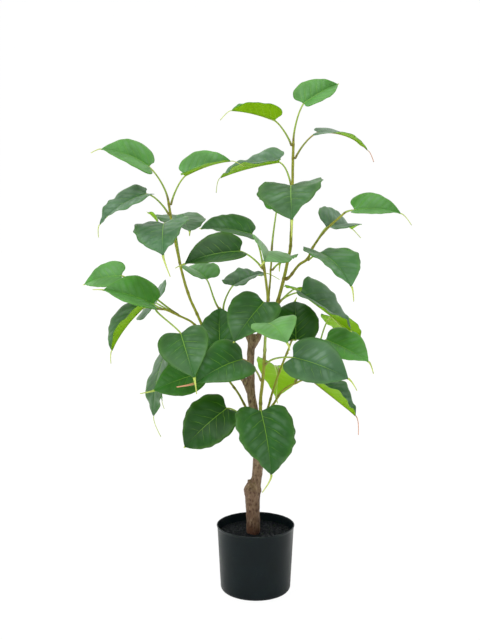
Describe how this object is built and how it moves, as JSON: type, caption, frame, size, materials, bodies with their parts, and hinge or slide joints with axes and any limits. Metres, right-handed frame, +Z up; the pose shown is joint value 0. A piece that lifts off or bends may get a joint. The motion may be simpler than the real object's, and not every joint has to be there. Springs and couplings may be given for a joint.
{
  "type": "artificial bodhi tree in a pot",
  "caption": "Artificial bodhi tree: slim bark-covered trunk with thin arching stems and heart-shaped leaves ending in long drip tips, standing in a round black plastic pot.",
  "frame": {"origin": "centre of the flat underside of the pot", "axes": "+Z up along the pot's axis to the top of the plant, -Y towards the viewer, +X to the viewer's right"},
  "size_m": [0.578, 0.362, 0.9039],
  "materials": {
    "black_plastic": "satin",
    "dark_granules": "rough",
    "bark": "rough",
    "stem": "satin",
    "leaf": "satin"
  },
  "bodies": {
    "root": {"back_left_stem": "stem", "back_left_stem_leaf_1": "leaf", "back_left_stem_leaf_2": "leaf", "back_left_stem_leaf_3": "leaf", "back_left_stem_leaf_4": "leaf", "centre_twig": "stem", "centre_twig_leaf_1": "leaf", "centre_twig_leaf_2": "leaf", "fill": "dark_granules", "front_stem": "stem", "front_stem_leaf_1": "leaf", "front_stem_leaf_2": "leaf", "front_stem_leaf_3": "leaf", "front_stem_leaf_4": "leaf", "front_stem_leaf_5": "leaf", "front_stem_leaf_6": "leaf", "front_stem_leaf_7": "leaf", "leader": "stem", "leader_leaf_1": "leaf", "leader_leaf_2": "leaf", "leader_leaf_3": "leaf", "leader_leaf_4": "leaf", "leader_leaf_5": "leaf", "leader_leaf_6": "leaf", "leader_leaf_7": "leaf", "left_bough": "stem", "left_bough_leaf_1": "leaf", "left_bough_leaf_2": "leaf", "left_bough_leaf_3": "leaf", "left_bough_leaf_4": "leaf", "left_bough_leaf_5": "leaf", "left_bough_leaf_6": "leaf", "low_left_bough": "stem", "low_left_bough_leaf_1": "leaf", "low_left_bough_leaf_2": "leaf", "low_left_bough_leaf_3": "leaf", "low_left_bough_leaf_4": "leaf", "low_left_bough_leaf_5": "leaf", "low_right_stem": "stem", "low_right_stem_leaf_1": "leaf", "low_right_stem_leaf_2": "leaf", "low_right_stem_leaf_3": "leaf", "pot": "black_plastic", "right_bough": "stem", "right_bough_leaf_1": "leaf", "right_bough_leaf_2": "leaf", "right_bough_leaf_3": "leaf", "right_stem": "stem", "right_stem_leaf_1": "leaf", "right_stem_leaf_2": "leaf", "trunk": "bark", "trunk_leaf_1": "leaf", "trunk_leaf_2": "leaf", "upper_left_twig": "stem", "upper_left_twig_leaf_1": "leaf", "upper_left_twig_leaf_2": "leaf"}
  },
  "joints": []
}
